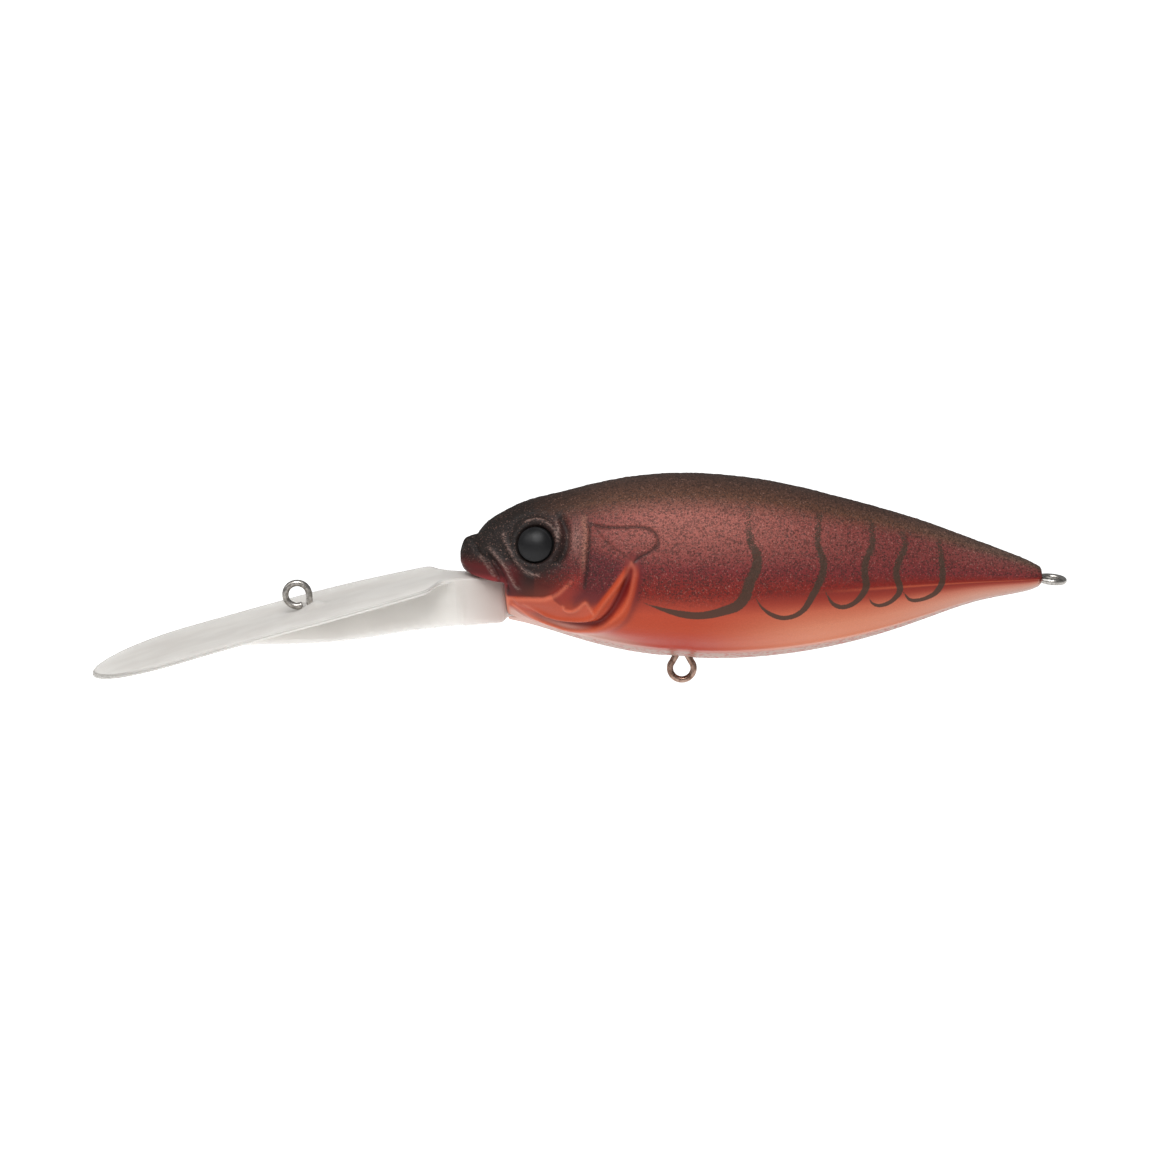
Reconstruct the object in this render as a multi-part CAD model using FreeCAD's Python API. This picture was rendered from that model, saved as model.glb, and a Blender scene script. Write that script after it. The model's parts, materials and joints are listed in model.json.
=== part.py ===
import FreeCAD, Part
import math
import os

# Crankbait lure: a hollow two-piece body, a long diving lip, wire hangers, eyes and inner weights.
# Millimetres. The origin is the centre of the line-tie eye. The nose points to -X, the back to +Z,
# and the body parts on the plane Y = 0, with the left shell on the -Y side.

V = FreeCAD.Vector
AXIS_Y = V(0, 1, 0)
PARTING_NORMAL = V(0, 1, 0)

# ---- body outline: points (x, value), joined by smooth curves ----------------------------------------
BACK_LINE = [(22.0, 6.3), (22.7, 7.3), (24.4, 8.7), (28.2, 11.4), (33.3, 13.4), (39.8, 15.2), (46.3, 16.4),
             (54.0, 16.7), (64.1, 15.6), (73.8, 13.3), (83.6, 10.5), (93.3, 6.9), (99.8, 4.2), (100.6, 3.7)]
KEEL_LINE = [(22.0, 4.4), (22.5, 3.6), (24.0, 1.2), (25.9, -1.8), (28.2, -3.4), (31.0, -3.9),
             (36.6, -5.7), (43.1, -7.5), (49.5, -8.5), (57.6, -8.9), (67.4, -8.1), (77.1, -6.0),
             (86.8, -2.7), (93.3, -0.5), (99.8, 0.9), (100.6, 1.4)]
HALF_WIDTH = [(22.0, 0.9), (23.5, 2.6), (25.5, 4.0), (28.2, 5.4), (32.0, 6.9), (37.0, 8.0), (43.0, 9.0),
              (50.0, 9.6), (57.0, 9.8), (64.0, 9.3), (71.0, 8.1), (78.0, 6.4), (85.0, 4.6), (92.0, 3.0),
              (99.0, 1.8), (100.6, 1.3)]
FLANK_LINE = [(22.0, 5.3), (25.5, 4.2), (30.0, 3.3), (37.0, 2.5), (100.6, 2.5)]
FLANK_FULLNESS = [(22.0, 0.55), (50.0, 0.55), (75.0, 0.42), (100.6, 0.36)]
STATIONS = [22.0, 22.7, 24.2, 26.5, 30.0, 36.0, 43.0, 50.0, 57.0, 64.0, 71.0, 78.0, 85.0, 92.0, 97.0, 100.6]
CHINE_WIDTH = 0.42          # chine half-width as a share of the body half-width
CHINE_RISE = 0.19           # chine height above the keel as a share of the depth below the flank line

# ---- shells -----------------------------------------------------------------------------------------
WALL = 1.5
CAVITY_STATIONS = [35.2, 38.0, 43.0, 50.0, 57.0, 64.0, 71.0, 78.0, 85.0, 90.0]
# the mouth: everything ahead of and below this outline is open to the lip
MOUTH = [(-30.0, 3.3), (23.2, 3.3), (24.7, 3.1), (26.7, 2.75), (28.15, 2.75), (28.15, -20.0), (-30.0, -20.0)]
RIB_STATIONS = [40.6, 49.0, 55.0, 67.0, 76.0, 84.0]
RIB_THICKNESS = 1.2
PIN_CLEARANCE = 0.05
PIN_DEPTH = 1.5
BOSS_WALL = 0.8

# ---- wire hangers -----------------------------------------------------------------------------------
WIRE_RADIUS = 0.45
RING_RADIUS = 1.6           # hanger ring, measured to the middle of the wire
RING_LAND = 0.03            # depth of the narrow land rolled inside each ring
LINE_TIE_ANCHOR = V(4.6, 0, -4.75)
LINE_TIE_ANCHOR_RADIUS = 1.15
BELLY_RING = V(52.0, 0, -10.2)
BELLY_ANCHOR = V(52.0, 0, -4.9)
BELLY_ANCHOR_RADIUS = 1.6
TAIL_RING = V(101.9, 0, 2.1)
TAIL_TILT = 3.5             # degrees that the tail ring dips to the rear
TAIL_REACH = 7.6            # ring centre to anchor centre
TAIL_ANCHOR_RADIUS = 1.45

# ---- diving lip -------------------------------------------------------------------------------------
LIP_TIP_X = -27.8
LIP_TIP_LENGTH = 12.0
LIP_HALF_WIDTH = 10.4
LIP_TOP = [(-27.8, -10.5), (-3.0, -3.1), (19.5, 2.75)]
LIP_THICKNESS = 1.4
LIP_SIDE = [(-15.8, 10.4), (-4.0, 10.2), (5.0, 10.0), (12.4, 9.0), (17.2, 8.0)]
LIP_SHOULDER = [(17.2, 8.0), (18.0, 7.4), (19.4, 4.0), (20.5, 3.1), (22.6, 2.5), (28.15, 2.5)]
NECK = [(17.5, 0.9), (19.5, 2.75), (28.15, 2.75), (28.15, -0.3)]
WEB_KEEL = [(-13.5, -7.3), (0.0, -6.75), (7.2, -6.2), (13.9, -5.05), (20.6, -4.1), (28.15, -3.35)]
WEB_CROWN = [(28.15, 1.0), (18.0, 1.5), (-13.5, -6.8)]
WEB_PLAN = [(-13.5, 0.4), (-2.0, 1.3), (10.0, 1.4), (21.0, 1.8), (28.15, 1.9)]
TONGUE_HALF_THICKNESS = 1.9
TONGUE = [(28.15, 2.75), (33.0, 2.3), (34.6, 0.7), (34.6, -2.0), (31.0, -2.6), (28.15, -2.6)]

# ---- eyes -------------------------------------------------------------------------------------------
EYE_CENTRE = V(32.2, -5.9, 8.2)
EYE_AXIS = V(-0.17, -0.95, 0.26)
EYE_RADIUS = 2.4
EYE_DOME = 1.0
EYE_SEAT = 0.75             # depth of the eye's flat back below the body surface
EYE_PAD = 0.25
EYE_CLEARANCE = 0.1

# ---- weights, balls and magnet ----------------------------------------------------------------------
BALL_RADIUS = 3.0
BALL_TRAVEL = 22.0
BALL_GAP = 0.1
CHANNEL_START = V(39.2, 0, 2.3)
CHANNEL_RISE = 4.0          # degrees that the channel climbs to the rear
CHANNEL_RADIUS = 3.3
SLEEVE_WALL = 1.0
MAGNET_RADIUS = 2.0
MAGNET_LENGTH = 2.0
MAGNET_GAP = 0.8
RATTLE_RADIUS = 1.5
RATTLE_BORE = 1.8
RATTLE_TRAVEL = 4.0
RATTLE_PLACES = [(46.0, 10.0), (52.0, 10.0), (58.0, 10.0)]
FRONT_WEIGHT = (V(42.0, 0, -4.2), 1.6, 6.0)      # front end, radius, length
REAR_WEIGHT = (V(56.6, 0, -4.7), 2.0, 8.0)

# pins that join the shells: x, z, diameter and half the gap that each one spans
PINS = [(30.0, -0.2, 1.8, TONGUE_HALF_THICKNESS), (33.0, 0.4, 1.4, TONGUE_HALF_THICKNESS),
        (39.0, 11.0, 2.0, 0.0), (52.0, -4.9, 2.0, 0.0), (66.5, 11.0, 2.0, 0.0), (80.0, 7.6, 2.0, 0.0),
        (81.0, 0.4, 2.0, 0.0)]


# ---- helpers ----------------------------------------------------------------------------------------
def along(points, x):
    """Height of the smooth curve through the points at x (cubic Hermite, chord-slope tangents)."""
    slopes = [(b[1] - a[1]) / (b[0] - a[0]) for a, b in zip(points, points[1:])]
    tangents = [slopes[0]] + [(s + t) / 2 for s, t in zip(slopes, slopes[1:])] + [slopes[-1]]
    for i, (a, b) in enumerate(zip(points, points[1:])):
        if x <= b[0] + 1e-9:
            break
    span = b[0] - a[0]
    t = (x - a[0]) / span
    rise = a[1] * (2 * t**3 - 3 * t**2 + 1) + b[1] * (3 * t**2 - 2 * t**3)
    return rise + span * (tangents[i] * (t**3 - 2 * t**2 + t) + tangents[i + 1] * (t**3 - t**2))


def bezier(*poles):
    curve = Part.BezierCurve()
    curve.setPoles(list(poles))
    return curve.toShape()


def ball(centre, radius):
    return Part.makeSphere(radius, centre)


def rod(start, direction, length, radius):
    return Part.makeCylinder(radius, length, start, direction)


def side_plate(outline, half_thickness):
    """Plate cut to a closed outline of (x, z) points, centred on the parting plane."""
    points = [V(x, -half_thickness, z) for x, z in outline]
    face = Part.Face(Part.makePolygon(points + points[:1]))
    return face.extrude(V(0, 2 * half_thickness, 0))


def spline(points):
    curve = Part.BSplineCurve()
    curve.interpolate(points)
    return curve.toShape()


def mirrored(shape):
    return shape.mirror(V(0, 0, 0), PARTING_NORMAL)


def fused(shapes):
    return shapes[0].multiFuse(shapes[1:])


# ---- body -------------------------------------------------------------------------------------------
def section(x, inset, overrun):
    """Closed half section of the left side at x, drawn in by inset and carried past the parting plane."""
    top = along(BACK_LINE, x) - inset
    keel = along(KEEL_LINE, x) + inset
    half = along(HALF_WIDTH, x) - inset
    flank = along(FLANK_LINE, x)
    fullness = along(FLANK_FULLNESS, x)
    chine = V(x, -CHINE_WIDTH * half, keel + CHINE_RISE * (flank - keel))
    widest = V(x, -half, flank)
    back = bezier(V(x, 0, top), V(x, -0.55 * half, top),
                  V(x, -half, flank + fullness * (top - flank)), widest)
    bilge = bezier(widest, V(x, -half, flank - fullness * (flank - keel)),
                   chine + V(0, -0.2 * half, 0.16 * (flank - keel)), chine)
    belly = bezier(chine, chine + V(0, 0.2 * half, -0.1 * (flank - keel)), V(x, 0, keel))
    closing = [V(x, 0, keel), V(x, 0, top)]
    if overrun:
        closing = [V(x, 0, keel), V(x, overrun, keel), V(x, overrun, top), V(x, 0, top)]
    return Part.Wire([back, bilge, belly] + Part.makePolygon(closing).Edges)


def half_body(stations, inset=0.0, overrun=0.0):
    return Part.makeLoft([section(x, inset, overrun) for x in stations], True, False)


# ---- wire hangers -----------------------------------------------------------------------------------
def wire_ring(centre, axis, radius):
    return Part.makeTorus(radius, WIRE_RADIUS, centre, axis)


def hanger(ring, ring_axis, anchor, anchor_radius):
    """Ring and anchor loop joined by a straight shank, with a narrow land inside the ring."""
    reach = anchor - ring
    length = reach.Length - RING_RADIUS - anchor_radius
    reach.normalize()
    shank = rod(ring + reach * RING_RADIUS, reach, length, WIRE_RADIUS)
    body = fused([wire_ring(ring, ring_axis, RING_RADIUS), shank, wire_ring(anchor, AXIS_Y, anchor_radius)])
    land = RING_RADIUS - WIRE_RADIUS + RING_LAND
    return body.cut(rod(ring - ring_axis * 2, ring_axis, 4, land))


def line_tie():
    return hanger(V(0, 0, 0), AXIS_Y, LINE_TIE_ANCHOR, LINE_TIE_ANCHOR_RADIUS)


def belly_hanger():
    return hanger(BELLY_RING, AXIS_Y, BELLY_ANCHOR, BELLY_ANCHOR_RADIUS)


def tail_anchor():
    tilt = math.radians(TAIL_TILT)
    return TAIL_RING - V(math.cos(tilt), 0, -math.sin(tilt)) * TAIL_REACH


def tail_hanger():
    tilt = math.radians(TAIL_TILT)
    ring_axis = V(math.sin(tilt), 0, math.cos(tilt))
    return hanger(TAIL_RING, ring_axis, tail_anchor(), TAIL_ANCHOR_RADIUS)


# ---- diving lip -------------------------------------------------------------------------------------
def upright(outline):
    """Tall prism on a closed plan outline of (x, y) points, on both sides of the parting plane."""
    near = [V(x, -y, -14) for x, y in outline]
    far = [V(x, y, -14) for x, y in reversed(outline)]
    return Part.Face(Part.makePolygon(near + far + near[:1])).extrude(V(0, 0, 24))


def lip_side_profile():
    """Side view of the blade: a slightly bowed strip of even thickness."""
    top = [V(x, -12, z) for x, z in LIP_TOP]
    bottom = [point - V(0, 0, LIP_THICKNESS) for point in top]
    edges = [Part.Arc(*top).toShape(), Part.makeLine(top[2], bottom[2]),
             Part.Arc(*reversed(bottom)).toShape(), Part.makeLine(bottom[0], top[0])]
    return Part.Face(Part.Wire(edges)).extrude(V(0, 24, 0))


def lip_plan():
    """Plan of the blade: half an ellipse at the tip, long sides, shoulders and the neck."""
    centre = V(LIP_TIP_X + LIP_TIP_LENGTH, 0, -14)
    ellipse = Part.Ellipse(centre, LIP_TIP_LENGTH, LIP_HALF_WIDTH)
    tip = Part.Arc(ellipse, math.pi / 2, math.pi).toShape()
    side = spline([V(x, y, centre.z) for x, y in LIP_SIDE])
    neck_end = V(LIP_SHOULDER[-1][0], 0, centre.z)
    rest = [V(x, y, centre.z) for x, y in LIP_SHOULDER] + [neck_end, V(LIP_TIP_X, 0, centre.z)]
    edges = [tip, side] + Part.makePolygon(rest).Edges
    half = Part.Face(Part.Wire(Part.__sortEdges__(edges))).extrude(V(0, 0, 24))
    return half.fuse(mirrored(half)).removeSplitter()


def lip_web():
    """Stiffening web under the blade, tapering forward."""
    keel = [V(x, -4, z) for x, z in WEB_KEEL]
    crown = [V(x, -4, z) for x, z in WEB_CROWN]
    edges = [spline(keel)] + Part.makePolygon([keel[-1]] + crown + [keel[0]]).Edges
    profile = Part.Face(Part.Wire(edges)).extrude(V(0, 8, 0))
    return profile.common(upright(WEB_PLAN))


def diving_lip():
    plan = lip_plan()
    blade = lip_side_profile().common(plan)
    neck = side_plate(NECK, 12).common(plan)
    tongue = side_plate(TONGUE, TONGUE_HALF_THICKNESS)
    lip = fused([blade, neck, lip_web(), tongue])
    holes = [rod(V(x, -5, z), AXIS_Y, 10, diameter / 2 + PIN_CLEARANCE)
             for x, z, diameter, gap in PINS if gap]
    return lip.cut(fused([line_tie()] + holes)).removeSplitter()


# ---- eyes -------------------------------------------------------------------------------------------
def eye_axis():
    axis = V(EYE_AXIS)
    return axis.normalize()


def left_eye():
    """Short disc with a domed front."""
    base = EYE_CENTRE - eye_axis() * EYE_SEAT
    sphere_radius = (EYE_RADIUS**2 + EYE_DOME**2) / (2 * EYE_DOME)
    sphere_centre = EYE_CENTRE + eye_axis() * (EYE_DOME - sphere_radius)
    return rod(base, eye_axis(), EYE_SEAT + EYE_DOME, EYE_RADIUS).common(ball(sphere_centre, sphere_radius))


def left_eye_pad():
    base = EYE_CENTRE - eye_axis() * (EYE_SEAT + EYE_PAD)
    return rod(base, eye_axis(), EYE_PAD, EYE_RADIUS - EYE_CLEARANCE)


def eye_socket():
    base = EYE_CENTRE - eye_axis() * (EYE_SEAT + EYE_PAD)
    return rod(base, eye_axis(), 6, EYE_RADIUS + EYE_CLEARANCE)


# ---- weights, balls and magnet ----------------------------------------------------------------------
def channel_axis():
    rise = math.radians(CHANNEL_RISE)
    return V(math.cos(rise), 0, math.sin(rise))


def channel_length():
    return BALL_TRAVEL + 4 * BALL_RADIUS + 3 * BALL_GAP


def transfer_ball(place):
    """Ball in the channel at rest: place 0 is the front one and place 1 the one behind it."""
    distance = BALL_GAP + BALL_RADIUS + place * (2 * BALL_RADIUS + BALL_GAP)
    return ball(CHANNEL_START + channel_axis() * distance, BALL_RADIUS)


def holding_magnet():
    front = CHANNEL_START - channel_axis() * (MAGNET_GAP + MAGNET_LENGTH)
    return rod(front, channel_axis(), MAGNET_LENGTH, MAGNET_RADIUS)


def rattle_ball(x, z):
    return ball(V(x, 0, z), RATTLE_RADIUS)


def rattle_tube(x, z, radius, half_length):
    return rod(V(x, -half_length, z), AXIS_Y, 2 * half_length, radius)


def keel_weight(place):
    start, radius, length = place
    return rod(start, V(1, 0, 0), length, radius)


# ---- shells -----------------------------------------------------------------------------------------
def moulded_inside():
    """Everything that stands inside a shell: sleeve, tubes, ribs, bosses, saddles and the lip socket."""
    front = CHANNEL_START - channel_axis() * (MAGNET_GAP + MAGNET_LENGTH + SLEEVE_WALL)
    length = channel_length() + MAGNET_GAP + MAGNET_LENGTH + 2 * SLEEVE_WALL
    solids = [rod(front, channel_axis(), length, CHANNEL_RADIUS + SLEEVE_WALL)]
    solids += [rattle_tube(x, z, RATTLE_BORE + SLEEVE_WALL, 9) for x, z in RATTLE_PLACES]
    solids += [Part.makeBox(RIB_THICKNESS, 10, 30, V(x - RIB_THICKNESS / 2, -10, -10)) for x in RIB_STATIONS]
    solids += [rod(V(x, -10, z), AXIS_Y, 10 - gap, diameter / 2 + BOSS_WALL) for x, z, diameter, gap in PINS]
    solids += [keel_weight((start - V(SLEEVE_WALL, 0, 0), radius + SLEEVE_WALL, length + 2 * SLEEVE_WALL))
               for start, radius, length in (FRONT_WEIGHT, REAR_WEIGHT)]
    solids.append(rod(EYE_CENTRE, eye_axis() * -1, 3.0, EYE_RADIUS + BOSS_WALL))
    return fused(solids)


def moulded_hollows():
    """Everything cut out of a shell: bores, pockets, wire grooves, the mouth and the lip socket."""
    cuts = [rod(CHANNEL_START, channel_axis(), channel_length(), CHANNEL_RADIUS)]
    rattle_reach = RATTLE_TRAVEL + RATTLE_RADIUS + BALL_GAP
    cuts += [rattle_tube(x, z, RATTLE_BORE, rattle_reach) for x, z in RATTLE_PLACES]
    cuts += [keel_weight(FRONT_WEIGHT), keel_weight(REAR_WEIGHT), holding_magnet()]
    cuts += [belly_hanger(), tail_hanger(), side_plate(TONGUE, TONGUE_HALF_THICKNESS)]
    cuts += [eye_socket(), side_plate(MOUTH, 12)]
    return cuts


def left_half():
    """Left half of the body with everything that both halves share."""
    outer = half_body(STATIONS)
    cavity = half_body(CAVITY_STATIONS, WALL, 1.0)
    shell = outer.cut(cavity).fuse(moulded_inside().common(outer))
    for hollow in moulded_hollows():
        shell = shell.cut(hollow)
    return shell


def left_shell():
    pins = [rod(V(x, -gap - 1.0, z), AXIS_Y, 2 * gap + 1.0 + PIN_DEPTH, diameter / 2)
            for x, z, diameter, gap in PINS]
    return fused([left_half()] + pins)


def right_shell():
    shell = mirrored(left_half())
    for x, z, diameter, gap in PINS:
        hole = rod(V(x, -1, z), AXIS_Y, 1 + gap + PIN_DEPTH + 0.2, diameter / 2 + PIN_CLEARANCE)
        shell = shell.cut(hole)
    return shell


def build():
    nodes = {
        "left_shell": left_shell(),
        "right_shell": right_shell(),
        "diving_lip": diving_lip(),
        "line_tie": line_tie(),
        "belly_hanger": belly_hanger(),
        "tail_hanger": tail_hanger(),
        "left_eye": left_eye(),
        "right_eye": mirrored(left_eye()),
        "left_eye_pad": left_eye_pad(),
        "right_eye_pad": mirrored(left_eye_pad()),
        "keel_weight_front": keel_weight(FRONT_WEIGHT),
        "keel_weight_rear": keel_weight(REAR_WEIGHT),
        "holding_magnet": holding_magnet(),
        "transfer_ball_front": transfer_ball(0),
        "transfer_ball_rear": transfer_ball(1),
    }
    for number, (x, z) in enumerate(RATTLE_PLACES, start=1):
        nodes[f"rattle_ball_{number}"] = rattle_ball(x, z)
    return nodes


os.makedirs("parts", exist_ok=True)
for name, shape in build().items():
    shape.exportStep(f"parts/{name}.step")
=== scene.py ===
import json
import math

import bpy
import numpy as np
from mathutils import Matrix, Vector
from mathutils.bvhtree import BVHTree


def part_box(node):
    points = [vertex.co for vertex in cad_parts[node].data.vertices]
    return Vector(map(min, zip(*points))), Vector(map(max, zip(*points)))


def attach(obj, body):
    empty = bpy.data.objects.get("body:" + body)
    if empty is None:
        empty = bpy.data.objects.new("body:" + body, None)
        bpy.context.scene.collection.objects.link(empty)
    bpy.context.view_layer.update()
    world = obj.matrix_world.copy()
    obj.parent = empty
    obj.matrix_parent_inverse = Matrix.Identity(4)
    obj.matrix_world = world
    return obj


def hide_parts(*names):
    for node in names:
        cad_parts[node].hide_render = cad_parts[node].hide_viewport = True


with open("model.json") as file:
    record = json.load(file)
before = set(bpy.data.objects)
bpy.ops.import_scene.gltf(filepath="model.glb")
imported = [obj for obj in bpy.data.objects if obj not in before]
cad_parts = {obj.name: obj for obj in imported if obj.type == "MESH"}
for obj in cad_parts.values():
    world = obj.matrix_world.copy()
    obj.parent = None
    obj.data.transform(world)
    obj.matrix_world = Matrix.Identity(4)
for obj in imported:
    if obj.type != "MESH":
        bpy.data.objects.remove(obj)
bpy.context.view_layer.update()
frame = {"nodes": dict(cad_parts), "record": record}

# Crankbait lure: painted two-piece body with moulded head, frosted diving lip, wire hangers, black eyes.
# Shapes below are worked out in millimetres in the CAD frame: +X to the tail, +Z to the back.
MM = 0.001
BODY = "lure"
RNG = np.random.default_rng(7)

# ---- body skin --------------------------------------------------------------------------------------
SKIN_ROWS = 420             # stations from nose to tail
SKIN_COLUMNS = 210          # points from the back seam round to the keel seam
END_GAP = 0.02              # first and last stations, inside the CAD shell's ends
SEAM_ANGLE = 0.008          # first and last rays, in radians off the parting plane
RAY_START = 40.0            # outside the object in every direction
INNER_COLUMNS = 20
CAVITY = (31.0, 96.0)       # hollow part of the shell, along X
WALL = 1.4
SEAM_COLUMNS = 8            # columns beside each seam that are freed of dents
SEAM_REACH = 12             # rows to either side that a dent is compared with
SEAM_START = 52             # first row behind the nose that is freed of dents
GRAIN = 0.02                # height of the granular coat
FAR = 99.0                  # a distance beyond any feature's reach
AXIS_LINE = [(22.0, 5.3), (24.5, 5.2), (28.0, 4.3), (34.0, 3.0), (44.0, 2.5), (101.0, 2.5)]
END_ROUNDING = 0.5          # length over which the nose and the tail are rounded off

EYE_AXIS = Vector((-0.17, -0.95, 0.26)).normalized()
EYE_SEAT = 0.875            # from the middle of the adhesive pad out to the body surface
EYE_RADIUS = 2.34
EYE_DOME = 1.0
EYE_DEPTH = 4.0             # skin further than this along the eye's axis belongs to the other side
SOCKET_PASSES = 600         # rounds of relaxing that carry the skin over the eye socket

# Relief lines on the side of the head, as (x, z) points on the left skin.
NOSE_NOTCH = [(24.6, 9.2), (24.1, 8.6), (23.7, 7.9), (23.9, 7.2)]
LIP_GROOVE = [(23.9, 7.4), (24.6, 6.4), (25.8, 5.6), (27.0, 3.9), (27.4, 2.9)]
LIP_FOLD = [(24.6, 6.2), (25.6, 5.2), (26.6, 3.7)]
UPPER_JAW = [(26.0, 7.3), (27.2, 6.1), (28.2, 5.0), (29.2, 3.3), (30.0, 2.0)]
JAW_FURROW = [(25.2, 6.8), (26.6, 5.5), (27.8, 3.8), (28.6, 1.8)]
ORBIT_FRONT = [(28.0, 9.1), (28.4, 7.9), (29.2, 6.5), (30.2, 5.2), (31.3, 4.4), (32.5, 4.2)]
ORBIT_TOP = [(31.0, 10.8), (32.5, 11.2), (33.7, 11.0), (34.7, 10.3), (35.2, 9.3)]
BROW = [(35.0, 11.3), (35.4, 10.0), (35.3, 8.9)]
CHEEK_FURROW = [(35.3, 12.1), (36.0, 11.0), (36.4, 9.9), (36.3, 8.4), (35.8, 7.0), (34.8, 5.8)]
CHEEK_EDGE = [(39.2, 11.5), (39.5, 10.2), (39.4, 8.4), (39.2, 6.2), (39.1, 4.7), (38.8, 2.7)]
JAW_LINE = [(28.9, 0.8), (30.2, 1.0), (31.7, 1.1), (33.3, 1.2), (34.9, 1.9), (36.1, 3.0), (37.3, 4.2)]
FLAG_EDGE = [(39.7, 11.1), (41.4, 10.8), (43.4, 10.8), (46.0, 10.9), (47.4, 10.7), (48.3, 10.1),
             (48.6, 9.2), (48.3, 8.4), (47.2, 7.6), (46.2, 7.1), (45.4, 6.4)]
FLAG_RIDGE = [(40.5, 10.4), (42.0, 8.8), (43.6, 7.7), (45.0, 6.7)]
GILL_CREST = [(45.1, 6.4), (45.5, 5.2), (45.3, 3.6), (44.8, 1.7), (43.8, -0.3), (42.3, -1.8), (40.5, -3.1),
              (38.5, -3.6), (36.5, -3.6), (34.1, -2.85), (32.4, -2.1), (30.9, -1.4), (29.2, -0.4)]
GILL_RECESS = [(44.8, 5.2), (44.2, 3.2), (43.2, 0.9), (42.0, -1.0), (40.6, -2.3), (38.5, -2.8),
               (36.5, -2.8), (34.5, -2.35), (32.5, -1.55), (31.2, -0.8)]
GILL_INNER = [(45.0, 6.2), (44.2, 4.6), (43.0, 2.9), (41.4, 0.7), (40.2, -1.1), (39.6, -1.6),
              (38.5, -1.95), (36.5, -2.05), (34.5, -1.8), (32.5, -0.95), (30.8, 0.0)]
CHEEK_BARB = [(35.9, 0.0), (36.3, -0.6), (37.1, -0.7), (37.9, -0.3), (38.9, 0.7), (39.5, 0.0), (40.0, -0.8)]
THROAT_LINE = [(29.2, -0.9), (31.0, -2.1), (32.9, -3.3), (34.9, -4.2), (37.1, -4.6)]

# Dark painted bars on the flank: centre line from the top down, and the full width.
BARS = [
    ([(61.0, 13.7), (60.7, 11.6), (61.0, 9.1), (61.8, 7.3), (61.7, 5.6), (60.8, 3.7), (60.3, 2.0),
      (59.2, 0.6), (57.4, -0.1), (55.6, -0.6), (53.8, -0.8), (51.8, -0.6), (49.8, -0.1), (47.9, 0.5),
      (46.6, 1.0)], 1.5),
    ([(70.3, 11.9), (70.0, 9.4), (70.2, 7.8), (70.8, 6.0), (70.5, 4.2), (69.3, 1.8), (68.2, -0.1),
      (66.8, -1.1), (65.2, -1.3), (63.7, -0.7), (62.5, 0.3), (61.8, 1.4), (61.5, 2.2)], 1.0),
    ([(77.3, 10.6), (77.4, 8.2), (76.5, 6.0), (76.3, 4.4), (76.5, 2.6), (75.6, 1.0), (74.4, 0.1),
      (73.2, -0.1), (72.1, 0.4), (71.4, 1.4), (70.9, 2.5)], 1.0),
    ([(81.5, 9.2), (81.8, 7.6), (80.9, 5.5), (80.6, 4.0), (81.1, 1.9), (80.4, 0.7), (79.4, 0.0),
      (78.2, -0.2), (77.3, 0.3), (76.7, 1.4)], 0.95),
    ([(86.5, 7.7), (86.7, 6.0), (86.9, 4.5), (86.8, 2.6), (86.0, 1.2), (84.8, 0.5), (83.5, 0.2),
      (82.5, 0.4), (81.8, 1.2), (81.3, 2.0)], 0.9),
]

# Airbrush paints, from the belly to the back; among them are a painted sheen and painted shade.
BURNT_ORANGE = "a03f2c"
BELLY_ORANGE = "ae4226"
# painted shade: darker orange low on the front half of the belly
BELLY_SHADE_ORANGE = "a4321e"
SALMON = "ca7c5e"
TAIL_PINK = "b4988e"
KEEL_PINK = "9c7a6e"
BRICK = "72211b"
WINE = "6a2728"
MAROON = "6c2e2c"
# painted sheen: the broad highlight on the upper flank, painted into the colour
PAINTED_SHEEN = "985a50"
SHOULDER_BROWN = "58392b"
BACK_BROWN = "40302a"
TAIL_DUST = "66564e"
HEAD_BLACK = "1a1512"
BAR_COLOUR = "3c2e25"
KEEL_COLOUR = "a08a80"
ORANGE = "a93f20"
# painted highlight on the ridges of the jaw and the gill crescents
ORANGE_HIGHLIGHT = "d4775a"
JAW_ORANGE = "ab4d38"
CHEEK_RED = "4e1d22"
MOUTH_RED = "4c1718"
# painted shade: deep red darkness filling the gill recess
RECESS_SHADE_RED = "5c1414"
RIDGE_HIGHLIGHT = "8a7068"           # painted highlight along the raised lines of the head
THROAT_PINK = "c2998c"
# painted highlight along the crease towards the tail
CREASE_HIGHLIGHT = "c45a38"
LIP_RED = "8a2c2e"          # lower edge of the upper lip
JAW_GLOW_RED = "8c2f26"
PLATE_PINK = "9c756c"       # lighter pink over the middle of the cheek plate
EDGE_HIGHLIGHT_TAN = "9a6a58"         # painted highlight along the edge of the cheek plate
# painted shade in the gap round the eye
SOCKET_SHADE_BLACK = "141313"
BLACK = "181716"
INNER_WHITE = "cfc3b4"      # bare plastic inside the shell
SPECK_DARK = "241c19"
SPECK_LIGHT = "d8a494"
KEEL_DOT = "9c4238"

# Lower edge of the granular coat, as (x, level).
ROUGH_EDGE = [(22, -0.2), (30, 0.0), (40, -0.1), (52, -0.22), (64, -0.12), (80, 0.0), (101, 0.02)]

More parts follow.
